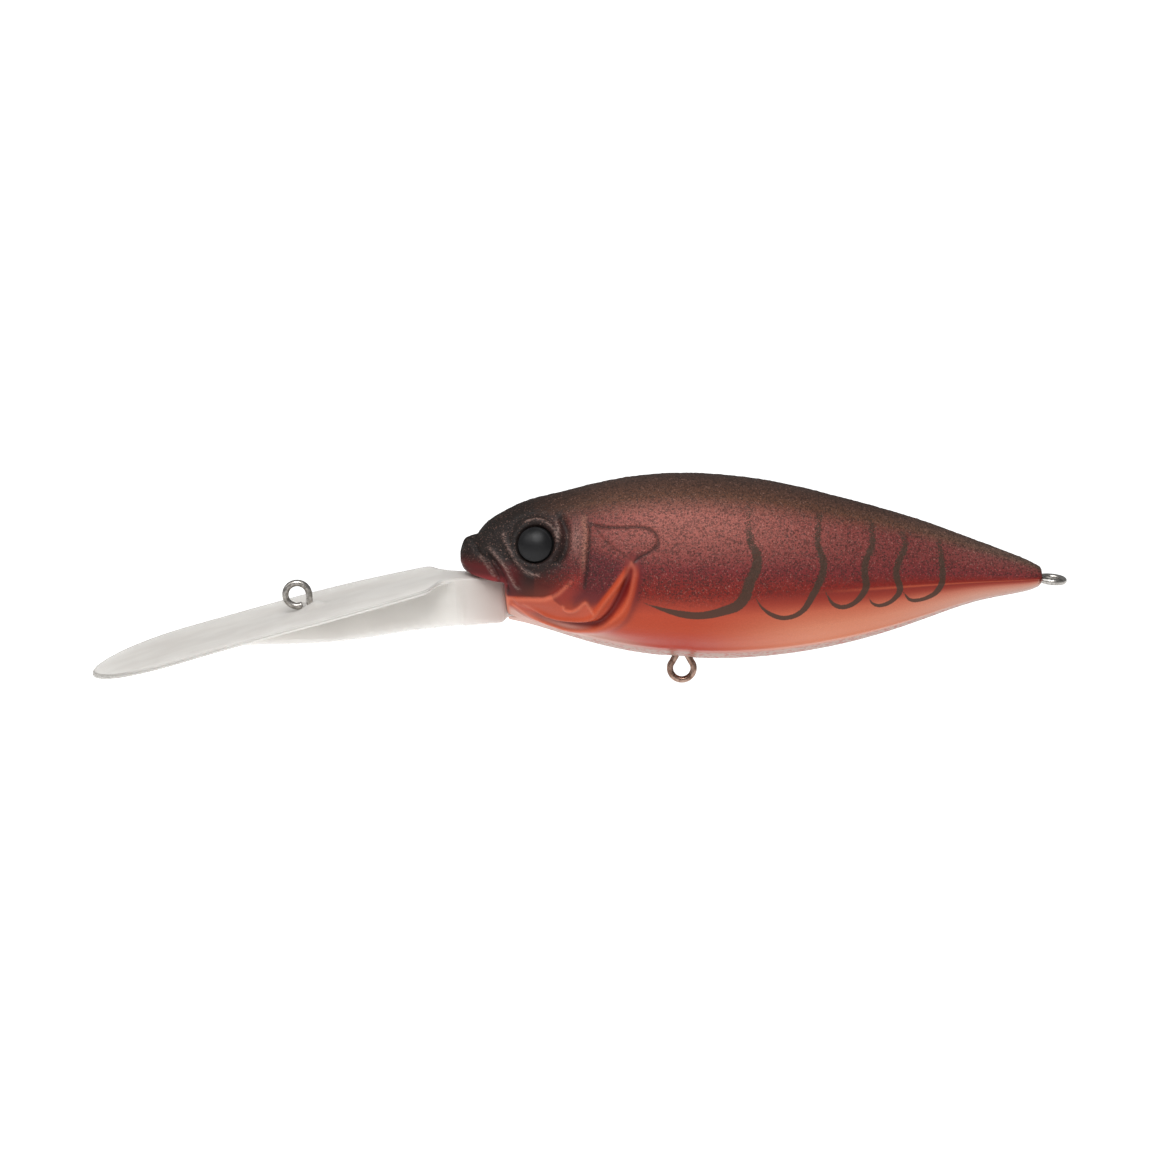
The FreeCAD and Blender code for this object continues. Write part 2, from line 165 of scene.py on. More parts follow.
# Painted areas of the head, as (x, z) outlines seen from the side.
JAW_AREA = [(28.0, 0.9), (30.2, 1.0), (31.7, 1.1), (33.3, 1.2), (34.4, 1.6), (34.8, 0.9), (35.6, 0.1),
            (36.2, -0.4), (37.1, -0.5), (38.0, 0.0), (38.9, 0.8), (39.6, -0.2), (40.2, -1.3), (39.5, -1.9),
            (38.0, -2.3), (36.5, -2.4), (34.5, -2.1), (32.5, -1.3), (30.0, -0.2), (28.0, -0.2)]
JAW_GLOW = [(34.5, 1.8), (36.2, 3.6), (38.4, 5.0), (38.4, 2.8), (37.0, 0.8), (36.0, -0.3), (35.0, 0.5)]
THROAT_AREA = [(28.6, -0.8), (30.9, -1.9), (32.4, -2.7), (34.1, -3.5), (36.5, -4.3), (38.5, -4.6),
               (42.0, -9.0), (28.6, -9.0)]
CHEEK_AREA = [(39.4, 8.0), (44.0, 6.4), (43.0, 3.4), (41.2, 0.6), (39.4, 0.2), (38.9, 1.0), (37.4, 0.2),
              (36.8, 1.4), (37.4, 3.8), (38.4, 6.0)]

# ---- diving lip -------------------------------------------------------------------------------------
LIP_ROWS = 330
TIP_ROWS = 90               # of those, the rows packed into the round tip
TIP_LENGTH = 12.0
MIDDLE_COLUMNS = 18         # from the middle of the blade to half way out
RIM_COLUMNS = 27            # from there to the rim
LIP_EDGE = 0.6              # thickness at the rim
LIP_MIDDLE = 1.5            # thickness near the middle of the blade
BOSS_X = 2.2                # small swelling where the line-tie wire enters
BOSS_HEIGHT = 0.8
BOSS_SPREAD = (1.5, 1.1)    # along the lip and across it
NECK_EDGE = 1.3             # height left standing at the side of the neck
# half width of the web and the neck along the lip, as (x, half width)
WEB_HALF = [(-14.0, 0.5), (-3.0, 1.25), (8.0, 1.4), (14.0, 1.9), (20.0, 2.5), (22.0, 2.65), (36.0, 2.65)]
WEB_START = -14.0
FROST = ("c3bfba", "ccc9c4")
# painted light on the web, where the blade above would shade it
WEB_PAINTED_LIGHT = "efece8"
# painted reflection of the body's red, darkening the neck near the mouth
ROOT_REFLECTION_PINK = "ab958e"
# painted shade along the thin rim of the blade
RIM_SHADE_GREY = "6b6863"

# ---- wires ------------------------------------------------------------------------------------------
WIRE = 0.45                 # wire radius
RING = 1.6                  # ring radius, to the middle of the wire
ARC_STEP = 24               # about how many degrees lie between the points of an arc
LINE_TIE_ANCHOR = (4.6, -4.75)
LINE_TIE_ANCHOR_RADIUS = 1.15
TAIL_TILT = 5.0             # degrees that the tail ring dips to the rear


# ---- helpers ----------------------------------------------------------------------------------------
def smooth(edge0, edge1, value):
    """Smooth step from 0 at edge0 to 1 at edge1."""
    t = np.clip((value - edge0) / (edge1 - edge0), 0.0, 1.0)
    return t * t * (3 - 2 * t)


def ramp(start, end, value):
    """Straight rise from 0 at start to 1 at end."""
    return np.clip((value - start) / (end - start), 0.0, 1.0)


def bell(distance, width):
    """Bell curve: 1 at the middle, falling off over width."""
    return np.exp(-(distance / width) ** 2)


def tapered(share, taper):
    """Share of full height along a line whose two ends taper off."""
    return smooth(0, taper, share) * smooth(1, 1 - taper, share)


def mix(a, b, share):
    return a + (b - a) * share


def linear(code):
    """Linear colour from a hex code."""
    value = np.array([int(code[i:i + 2], 16) / 255 for i in (0, 2, 4)])
    return np.where(value <= 0.04045, value / 12.92, ((value + 0.055) / 1.055) ** 2.4)


def spread(points, step=0.12):
    """Smooth curve through the points (Catmull-Rom), sampled about every step millimetres."""
    knots = np.array(points, float)
    padded = np.vstack([2 * knots[0] - knots[1], knots, 2 * knots[-1] - knots[-2]])
    samples = []
    for a, b, c, d in zip(padded, padded[1:], padded[2:], padded[3:]):
        count = max(2, int(np.linalg.norm(c - b) / step))
        t = np.linspace(0, 1, count, endpoint=False)[:, None]
        samples.append(0.5 * (2 * b + (c - a) * t + (2 * a - 5 * b + 4 * c - d) * t**2
                              + (3 * b - a - 3 * c + d) * t**3))
    return np.vstack(samples + [knots[-1:]])


def blurred(grid, sigma):
    """Gaussian blur of a grid along both of its first two directions, edges held."""
    radius = int(3 * sigma) + 1
    kernel = np.exp(-0.5 * (np.arange(-radius, radius + 1) / sigma) ** 2)
    kernel /= kernel.sum()
    for direction in (0, 1):
        pads = [(0, 0)] * grid.ndim
        pads[direction] = (radius, radius)
        padded = np.pad(grid, pads, mode="edge")
        grid = sum(weight * np.take(padded, range(i, i + grid.shape[direction]), axis=direction)
                   for i, weight in enumerate(kernel))
    return grid


def make_piece(name, points, faces, material, replaced):
    """Mesh object from points in millimetres, riding on the lure and standing for one CAD node."""
    mesh = bpy.data.meshes.new(name)
    mesh.from_pydata((np.asarray(points) * MM).tolist(), [], faces)
    mesh.validate()
    mesh.polygons.foreach_set("use_smooth", [True] * len(mesh.polygons))
    mesh.materials.append(material)
    piece = bpy.data.objects.new(name, mesh)
    bpy.context.collection.objects.link(piece)
    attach(piece, BODY)
    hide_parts(replaced)
    return piece


def add_colours(piece, name, values):
    layer = piece.data.color_attributes.new(name, "FLOAT_COLOR", "POINT")
    rgba = np.ones((len(values), 4))
    rgba[:, :values.shape[1]] = values
    layer.data.foreach_set("color", rgba.ravel())


def cad_tree(node):
    """Ray-castable copy of a CAD node, in millimetres."""
    source = frame["nodes"][node]
    corners = [source.matrix_world @ v.co / MM for v in source.data.vertices]
    return BVHTree.FromPolygons(corners, [tuple(p.vertices) for p in source.data.polygons])


def grid_faces(rows, columns, first=0, flip=False):
    faces = []
    for i in range(rows - 1):
        for j in range(columns - 1):
            a = first + i * columns + j
            quad = (a, a + 1, a + columns + 1, a + columns)
            faces.append(quad[::-1] if flip else quad)
    return faces


# ---- material tools ---------------------------------------------------------------------------------
RANGE_SOCKETS = ("From Min", "From Max", "To Min", "To Max")


class Nodes:
    """Short way to build a node material whose patterns are measured in millimetres."""

    def __init__(self, name):
        self.material = bpy.data.materials.new(name)
        self.material.use_nodes = True
        self.tree = self.material.node_tree
        self.shader = self.tree.nodes["Principled BSDF"]
        coordinates = self.tree.nodes.new("ShaderNodeTexCoord")
        scale = self.tree.nodes.new("ShaderNodeVectorMath")
        scale.operation = "SCALE"
        scale.inputs["Scale"].default_value = 1 / MM
        self.link(coordinates.outputs["Object"], scale.inputs[0])
        self.millimetres = scale.outputs[0]

    def link(self, source, target):
        self.tree.links.new(source, target)

    def put(self, socket, value):
        if isinstance(value, bpy.types.NodeSocket):
            self.link(value, socket)
        else:
            socket.default_value = value

    def set(self, **values):
        """Sets the shader's sockets; underscores in a name stand for spaces."""
        for name, value in values.items():
            self.put(self.shader.inputs[name.replace("_", " ")], value)

    def noise(self, scale, detail=2.0, roughness=0.5, stretch=(1, 1, 1)):
        node = self.tree.nodes.new("ShaderNodeTexNoise")
        node.inputs["Scale"].default_value = scale
        node.inputs["Detail"].default_value = detail
        node.inputs["Roughness"].default_value = roughness
        place = self.tree.nodes.new("ShaderNodeMapping")
        place.inputs["Scale"].default_value = stretch
        self.link(self.millimetres, place.inputs["Vector"])
        self.link(place.outputs[0], node.inputs["Vector"])
        return node.outputs["Fac"]

    def cells(self, scale, output="Distance"):
        node = self.tree.nodes.new("ShaderNodeTexVoronoi")
        node.inputs["Scale"].default_value = scale
        self.link(self.millimetres, node.inputs["Vector"])
        return node.outputs[output]

    def steps(self, value, low, high, to_low=0.0, to_high=1.0):
        node = self.tree.nodes.new("ShaderNodeMapRange")
        node.interpolation_type = "SMOOTHSTEP"
        self.put(node.inputs["Value"], value)
        for socket, number in zip(RANGE_SOCKETS, (low, high, to_low, to_high)):
            self.put(node.inputs[socket], number)
        return node.outputs["Result"]

    def math(self, operation, a, b):
        node = self.tree.nodes.new("ShaderNodeMath")
        node.operation = operation
        self.put(node.inputs[0], a)
        self.put(node.inputs[1], b)
        return node.outputs[0]

    def mix(self, share, a, b):
        node = self.tree.nodes.new("ShaderNodeMix")
        node.data_type = "RGBA"
        self.put(node.inputs[0], share)
        self.put(node.inputs[6], a)
        self.put(node.inputs[7], b)
        return node.outputs[2]

    def painted(self, name):
        """Colour stored on the mesh under this name."""
        node = self.tree.nodes.new("ShaderNodeAttribute")
        node.attribute_name = name
        return node.outputs["Color"]

    def split(self, colour):
        node = self.tree.nodes.new("ShaderNodeSeparateColor")
        self.link(colour, node.inputs[0])
        return node.outputs

    def bump(self, height, strength, distance):
        """Bump from a height pattern; distance in millimetres."""
        node = self.tree.nodes.new("ShaderNodeBump")
        node.inputs["Strength"].default_value = strength
        node.inputs["Distance"].default_value = distance * MM
        self.link(height, node.inputs["Height"])
        self.link(node.outputs[0], self.shader.inputs["Normal"])


def rgba(code):
    return (*linear(code), 1.0)


def painted_material():
    """Airbrushed paint: rough granular coat above, smooth satin below, speckled bars and keel dots."""
    n = Nodes("painted_shell")
    rough, bar, keel = n.split(n.painted("Finish"))[0:3]
    grain = n.noise(3.4, 2.0, 0.55)
    fine = n.noise(8.0, 2.0, 0.6)
    colour = n.painted("Paint")
    for scale in (3.4, 5.4):
        size = n.split(n.cells(scale, "Color"))[0]
        gap = n.math("SUBTRACT", n.cells(scale), n.math("MULTIPLY", size, 0.68))
        specks = n.math("MULTIPLY", n.steps(gap, 0.06, -0.06), rough)
        colour = n.mix(n.math("MULTIPLY", specks, 0.5), colour, rgba(SPECK_DARK))
    lights = n.steps(n.noise(5.0, 1.0, 0.4), 0.62, 0.72)
    light = n.math("MULTIPLY", n.math("MULTIPLY", lights, rough), 0.14)
    colour = n.mix(light, colour, rgba(SPECK_LIGHT))
    spray = n.math("ADD", n.math("MULTIPLY", rough, 1.6), 0.5)
    spray = n.math("MULTIPLY", n.math("SUBTRACT", n.noise(5.5, 2.0, 0.6), 0.5), spray)
    bars = n.steps(n.math("ADD", bar, spray), 0.36, 0.64)
    colour = n.mix(n.math("MULTIPLY", bars, 0.92), colour, rgba(BAR_COLOUR))
    dots = n.steps(n.cells(1.5), 0.46, 0.34)
    dots = n.math("MULTIPLY", n.math("MULTIPLY", dots, keel), 0.75)
    colour = n.mix(dots, colour, rgba(KEEL_DOT))
    low = n.math("SUBTRACT", 0.92, n.math("MULTIPLY", rough, 0.14))
    high = n.math("ADD", 1.06, n.math("MULTIPLY", rough, 0.16))
    mottle = n.steps(fine, 0.3, 0.7, low, high)
    tone = n.tree.nodes.new("ShaderNodeVectorMath")
    tone.operation = "SCALE"
    n.link(colour, tone.inputs[0])
    n.link(mottle, tone.inputs["Scale"])
    height = n.math("ADD", n.math("MULTIPLY", grain, rough), n.math("MULTIPLY", fine, 0.08))
    n.bump(height, 0.9, 0.12)
    n.set(Base_Color=tone.outputs[0], Roughness=n.steps(rough, 0.0, 1.0, 0.36, 0.5),
          Specular_IOR_Level=0.15)
    return n.material


def lip_material():
    """Frosted clear plastic, cloudy and faintly streaked along its length; painted light on the web,
    painted reflection near the root, painted shade along the rim.
    """
    n = Nodes("frosted_lip")
    cloud = n.noise(0.35, 3.0, 0.5, (0.4, 1, 1))
    frost = n.noise(9.0, 2.0, 0.6)
    colour = n.mix(n.steps(cloud, 0.3, 0.7), *map(rgba, FROST))
    edge, root, web = n.split(n.painted("Edge"))[0:3]
    # Painted light on the web under the blade.
    colour = n.mix(n.math("MULTIPLY", web, 0.7), colour, rgba(WEB_PAINTED_LIGHT))
    # Painted reflection of the body near the root of the lip.
    colour = n.mix(n.math("MULTIPLY", root, 0.75), colour, rgba(ROOT_REFLECTION_PINK))
    # Painted shade along the rim.
    colour = n.mix(n.math("MULTIPLY", edge, 0.65), colour, rgba(RIM_SHADE_GREY))
    n.bump(frost, 0.2, 0.02)
    n.set(Base_Color=colour, Roughness=n.steps(cloud, 0.3, 0.7, 0.62, 0.75), IOR=1.45,
          Transmission_Weight=0.2, Subsurface_Weight=0.8, Subsurface_Radius=(1.0, 1.0, 1.0),
          Subsurface_Scale=0.0035, Specular_IOR_Level=0.08)
    return n.material


def wire_material(name, light, dark):
    """Drawn wire: fine lines along it and uneven tarnish."""
    n = Nodes(name)
    tarnish = n.noise(1.6, 3.0, 0.6)
    scuff = n.noise(14.0, 2.0, 0.6)
    n.bump(scuff, 0.3, 0.02)
    n.set(Base_Color=n.mix(n.steps(tarnish, 0.35, 0.65), rgba(light), rgba(dark)), Metallic=1.0,
          Roughness=n.steps(scuff, 0.3, 0.7, 0.24, 0.4))
    return n.material


def eye_material():
    n = Nodes("black_eye")
    haze = n.noise(0.9, 3.0, 0.6)
    n.bump(n.noise(12.0, 2.0, 0.6), 0.15, 0.02)
    n.set(Base_Color=n.mix(haze, rgba("0d0d0e"), rgba("131315")), Specular_IOR_Level=0.25,
          Roughness=n.steps(haze, 0.3, 0.7, 0.36, 0.48))
    return n.material


def inner_material(name, light, dark, metallic, roughness):
    """Plain inner pieces: cast or ground surface with a little unevenness."""
    n = Nodes(name)
    patch = n.noise(1.2, 4.0, 0.6)
    n.bump(n.noise(6.0, 3.0, 0.6), 0.2, 0.03)
    n.set(Base_Color=n.mix(patch, rgba(light), rgba(dark)), Metallic=metallic,
          Roughness=n.steps(patch, 0.3, 0.7, roughness, roughness + 0.15))
    return n.material


# ---- body skin --------------------------------------------------------------------------------------
def eye_centre():
    """Where the left eye's axis meets the body surface, in millimetres."""
    low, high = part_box("left_eye_pad")
    return (Vector(low) + Vector(high)) / (2 * MM) + EYE_AXIS * EYE_SEAT


def eye_offset(points):
    """Distance of each point along the left eye's axis from the body surface, and from the axis."""
    offset = points - np.array(eye_centre())
    along = offset @ np.array(EYE_AXIS)
    return along, np.linalg.norm(offset - along[..., None] * np.array(EYE_AXIS), axis=-1)


def cast_skin():
    """Left outer surface of the CAD shell as a grid of points, seams on the plane Y = 0."""
    low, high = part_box("left_shell")
    stations = np.linspace(low[0] / MM + END_GAP, high[0] / MM - END_GAP, SKIN_ROWS)
    heights = np.interp(stations, *zip(*AXIS_LINE))
    angles = np.linspace(math.pi / 2 - SEAM_ANGLE, -math.pi / 2 + SEAM_ANGLE, SKIN_COLUMNS)
    tree = cad_tree("left_shell")
    grid = np.zeros((SKIN_ROWS, SKIN_COLUMNS, 3))
    for i, (x, z) in enumerate(zip(stations, heights)):
        centre = Vector((x, 0, z))
        for j, angle in enumerate(angles):
            outward = Vector((0, -math.cos(angle), math.sin(angle)))
            hit = tree.ray_cast(centre + outward * RAY_START, -outward)[0]
            grid[i, j] = hit if hit is not None else centre + outward * 0.5
    return grid


def fill_socket(grid):
    """Carries the skin over the eye socket by relaxing the points inside it."""
    along, radius = eye_offset(grid)
    inside = (radius < EYE_RADIUS + 0.4) & (np.abs(along) < EYE_DEPTH)
    for _ in range(SOCKET_PASSES):
        around = sum(np.roll(grid, shift, axis) for axis in (0, 1) for shift in (1, -1)) / 4
        grid[inside] = around[inside]
    return grid


def heal_seams(grid):
    """Closes the small dents beside both seams, such as where the belly wire passes through."""
    for column in [*range(0, SEAM_COLUMNS), *range(-SEAM_COLUMNS, 0)]:
        height = grid[:, column, 2]
        windows = np.lib.stride_tricks.sliding_window_view(height, 2 * SEAM_REACH + 1)
        healed = np.median(windows, axis=1)
        grid[SEAM_START:len(height) - SEAM_REACH, column, 2] = healed[SEAM_START - SEAM_REACH:]
    return grid


def normals_of(grid):
    """Outward unit normals of the skin grid."""
    normal = np.cross(np.gradient(grid, axis=1), np.gradient(grid, axis=0))
    normal /= np.linalg.norm(normal, axis=-1, keepdims=True) + 1e-12
    middle = normal[grid.shape[0] // 2, grid.shape[1] // 2]
    return normal * (-1 if middle[1] > 0 else 1)


class Skin:
    """Left skin of the body with its relief height and its paint."""

    def __init__(self):
        self.points = blurred(heal_seams(fill_socket(cast_skin())), 1.1)
        self.normals = normals_of(self.points)
        rows, columns = self.points.shape[:2]
        self.tree = BVHTree.FromPolygons(self.points.reshape(-1, 3).tolist(), grid_faces(rows, columns))
        self.height = np.zeros((rows, columns))
        x, z = self.points[..., 0], self.points[..., 2]
        flank = np.interp(x, *zip(*AXIS_LINE))
        top, bottom = z.max(1, keepdims=True), z.min(1, keepdims=True)
        self.level = np.where(z > flank, (z - flank) / (top - flank), (z - flank) / (flank - bottom))
        self.x, self.z = x, z
        along, radius = eye_offset(self.points)
        self.eye_radius = np.where(np.abs(along) < EYE_DEPTH, radius, FAR)

    def trace(self, outline):
        """Smooth line on the skin through (x, z) points seen from the side."""
        line = []
        for x, z in spread(outline):
            hit = self.tree.ray_cast(Vector((x, -RAY_START, z)), Vector((0, 1, 0)))[0]
            if hit is not None:
                line.append(hit)
        return np.array(line)

    def area(self, outline, soft):
        """Share of each point inside an (x, z) outline, with an edge that fades over soft."""
        corners = np.array(outline, float)
        spot = np.stack([self.x, self.z], -1)
        nearest = np.full(self.x.shape, FAR)
        inside = np.zeros(self.x.shape, bool)
        for a, b in zip(corners, np.roll(corners, -1, 0)):
            edge, gap = b - a, spot - a
            share = np.clip((gap @ edge) / (edge @ edge), 0, 1)
            nearest = np.minimum(nearest, np.linalg.norm(gap - share[..., None] * edge, axis=-1))
            crosses = (a[1] > self.z) != (b[1] > self.z)
            rise = b[1] - a[1] if b[1] != a[1] else 1.0
            inside ^= crosses & (self.x < a[0] + (self.z - a[1]) / rise * edge[0])
        return smooth(-soft, soft, np.where(inside, nearest, -nearest))

    def near(self, outline, reach):
        """Distance of each point from a traced line, share of the line up to there, and the side."""
        line = self.trace(outline)
        low, high = line.min(0) - reach, line.max(0) + reach
        close = ((self.points > low) & (self.points < high)).all(-1)
        offset = self.points[close][:, None, :] - line[None]
        squared = (offset**2).sum(-1)
        nearest = squared.argmin(1)
        heading = np.gradient(line, axis=0)[nearest]
        gap = self.points[close] - line[nearest]
        side = np.sign(heading[:, 0] * gap[:, 2] - heading[:, 2] * gap[:, 0])
        distance = np.full(close.shape, FAR)
        share = np.zeros(close.shape)
        sides = np.zeros(close.shape)
        distance[close] = np.sqrt(squared.min(1))
        share[close] = nearest / (len(line) - 1)
        sides[close] = side
        return distance, share, sides

    def line(self, outline, width, height, taper=0.12):
        """Ridge, or groove where height is negative, with a rounded section and tapered ends."""
        distance, share, _ = self.near(outline, 3 * width)
        self.height += height * bell(distance, width) * tapered(share, taper)

    def ridge(self, outline, height, left, right, taper=0.1):
        """Ridge with a different width on either side of its line."""
        distance, share, sides = self.near(outline, 3 * max(left, right))
        self.height += height * bell(distance, np.where(sides > 0, left, right)) * tapered(share, taper)

    def lap(self, outline, height, fade, side, taper=0.1):
        """Overlapping edge: the skin on one side of the line stands higher and falls back over fade."""
        distance, share, sides = self.near(outline, fade + 1)
        signed = distance * sides * side
        step = smooth(-0.12, 0.12, signed) * smooth(fade, 0.3, signed)
        self.height += height * step * tapered(share, taper)


def carve_head(skin):
    """Moulded head: upper lip, jaw, orbit, cheek plate, gill cover and gill crescents."""
    lines = [(NOSE_NOTCH, 0.30, -0.34), (LIP_GROOVE, 0.30, -0.40), (LIP_FOLD, 0.20, 0.24),
             (UPPER_JAW, 0.36, 0.38), (JAW_FURROW, 0.30, -0.36), (ORBIT_FRONT, 0.34, 0.36),
             (ORBIT_TOP, 0.28, 0.20), (BROW, 0.28, 0.26), (CHEEK_FURROW, 0.55, -0.55)]
    for outline, width, height in lines:
        skin.line(outline, width, height)
    skin.lap(CHEEK_EDGE, 0.26, 2.2, -1)
    skin.line(CHEEK_EDGE, 0.2, -0.22)
    skin.lap(JAW_LINE, 0.30, 2.4, -1)
    skin.line(FLAG_EDGE, 0.18, -0.30, 0.04)
    skin.lap(FLAG_RIDGE, 0.14, 2.5, 1)
    skin.ridge(GILL_CREST, 0.50, 1.30, 0.40, 0.16)
    skin.line(GILL_RECESS, 0.42, -0.42, 0.12)
    skin.ridge(GILL_INNER, 0.36, 0.30, 0.60, 0.18)
    skin.line(CHEEK_BARB, 0.18, 0.20, 0.06)
    skin.line(THROAT_LINE, 0.30, 0.12)


def shape_nose(skin):
    """Full forehead, a rounded upper lip at the very front and the notch behind it."""
    upper = smooth(5.8, 7.6, skin.z)
    forehead = smooth(24.5, 26.0, skin.x) * smooth(36, 30, skin.x) * smooth(0.3, 0.9, skin.level)
    skin.height += 0.28 * forehead
    skin.height += 0.34 * bell(skin.x - 22.9, 0.75) * upper
    skin.height -= 0.22 * bell(skin.x - 24.25, 0.3) * upper


def carve_socket(skin):
    """Round eye socket with a raised rim and a dark gap round the eye."""
    radius = skin.eye_radius
    skin.height -= 0.4 * smooth(EYE_RADIUS + 0.35, EYE_RADIUS + 0.06, radius)
    skin.height += 0.16 * bell(radius - EYE_RADIUS - 0.75, 0.32)
    skin.height -= 0.10 * bell(radius - EYE_RADIUS - 1.7, 0.5)


def carve_flank(skin):
    """Crease along the widest line towards the tail, and a sharper chine beside the keel."""
    rear = smooth(58, 84, skin.x)
    skin.height += 0.10 * rear * bell(skin.level, 0.05)
    chine = smooth(36, 46, skin.x) * smooth(92, 80, skin.x)
    skin.height += 0.08 * chine * bell(skin.level + 0.81, 0.03)


def rough_zone(skin):
    """Share of rough coat: full on the back and the head, none on the belly, jaw and gill crescents."""
    lower_edge = np.interp(skin.x, *zip(*ROUGH_EDGE))
    return smooth(lower_edge - 0.06, lower_edge + 0.22, skin.level)


def tint(paint, share, code):
    return mix(paint, linear(code), np.clip(share, 0, 1)[..., None])


def airbrush(skin):
    """Coats by level: 1 on the back, 0 along the widest line, -1 on the keel."""
    x, level = skin.x, skin.level
    belly = ramp(-0.15, -0.55, level)
    keel_edge = -0.8 + 0.25 * smooth(50, 36, x)
    brick_edge = -0.035 + 0.06 * smooth(88, 100, x)
    shine = smooth(34, 50, x) * smooth(84, 54, x)
    coats = [(belly, BELLY_ORANGE),
             # painted shade on the lower belly towards the head
             (smooth(64, 52, x) * ramp(-0.5, -0.7, level), BELLY_SHADE_ORANGE),
             (smooth(52, 72, x) * belly * 0.95, SALMON),
             (smooth(74, 104, x) * ramp(-0.1, -0.8, level), TAIL_PINK),
             (ramp(keel_edge, -1.0, level), KEEL_PINK),
             (smooth(50, 40, x) * ramp(-0.6, -0.8, level) * 0.6, THROAT_PINK),
             (ramp(-0.3, brick_edge, level), BRICK),
             (ramp(0.02, 0.2, level), WINE),
             (ramp(0.2, 0.45, level), MAROON),
             # painted sheen: broad highlight on the upper flank
             (shine * ramp(0.2, 0.6, level) * 0.8, PAINTED_SHEEN),
             (ramp(0.7, 0.86, level), SHOULDER_BROWN),
             (ramp(0.86, 1.0, level), BACK_BROWN),
             (smooth(74, 101, x) * ramp(0.4, 1.0, level) * 0.5, TAIL_DUST),
             (ramp(42, 30, x) * ramp(-0.55, -0.3, level) * 0.9, HEAD_BLACK)]
    paint = np.zeros((*level.shape, 3)) + linear(BURNT_ORANGE)
    for share, code in coats:
        paint = tint(paint, share, code)
    return paint


